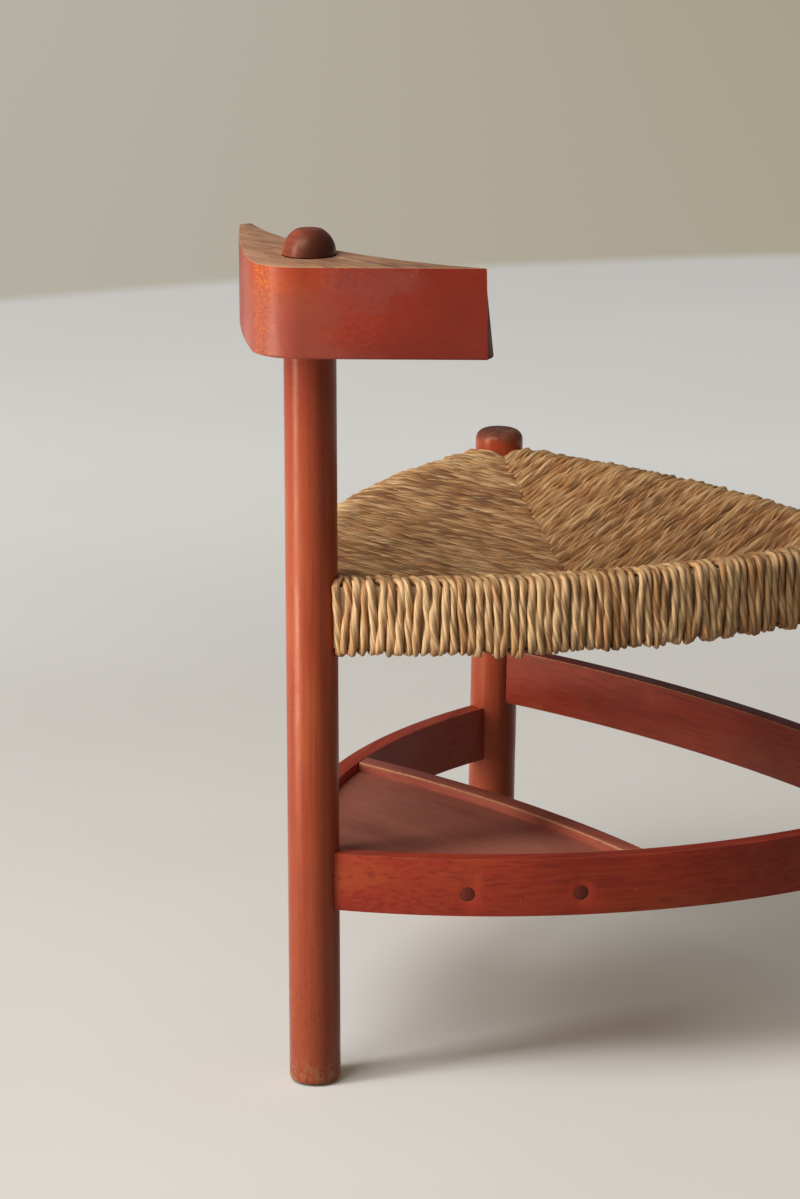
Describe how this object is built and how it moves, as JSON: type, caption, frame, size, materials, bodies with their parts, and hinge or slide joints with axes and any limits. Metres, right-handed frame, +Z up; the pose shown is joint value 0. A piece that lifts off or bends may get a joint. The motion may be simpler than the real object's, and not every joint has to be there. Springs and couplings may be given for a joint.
{
  "type": "corner chair",
  "caption": "Three-legged wooden corner chair with bowed rails, a woven rush seat, a low shelf and a wing-shaped block backrest on the tall rear leg.",
  "frame": {"origin": "on the floor, at the middle of the bounding box", "axes": "+Z up, the tall rear leg toward +Y, the open front edge of the seat toward -Y, the sitter's left is +X"},
  "size_m": [0.5184, 0.492, 0.7063],
  "materials": {
    "stained_leg": "red-brown stain under satin lacquer, worn lighter on the arrises",
    "stained_board": "orange-red stain under satin lacquer",
    "stained_backrest": "red stain, satin, worn to bare tan wood on the top face",
    "stained_shelf": "matt red-brown stain",
    "dark_knob": "dark red-brown, polished by hands",
    "dark_peg": "dark end grain under the stain",
    "bare_beech": "unstained",
    "rush": "twisted dry rush, golden tan",
    "rush_fill": "loose rush offcuts"
  },
  "bodies": {
    "root": {"rear_leg": "stained_leg", "front_leg_left": "stained_leg", "front_leg_right": "stained_leg", "backrest": "stained_backrest", "knob": "dark_knob", "side_stretcher_left": "stained_board", "side_stretcher_right": "stained_board", "front_stretcher": "stained_board", "side_seat_rail_left": "bare_beech", "side_seat_rail_right": "bare_beech", "front_seat_rail": "bare_beech", "shelf_panel": "stained_shelf", "shelf_lip": "stained_board", "shelf_cleat_left": "stained_board", "shelf_cleat_right": "stained_board", "cleat_pegs_left": "dark_peg", "cleat_pegs_right": "dark_peg", "rush_left": "rush", "rush_right": "rush", "rush_front": "rush", "rush_stuffing": "rush_fill"}
  },
  "joints": []
}
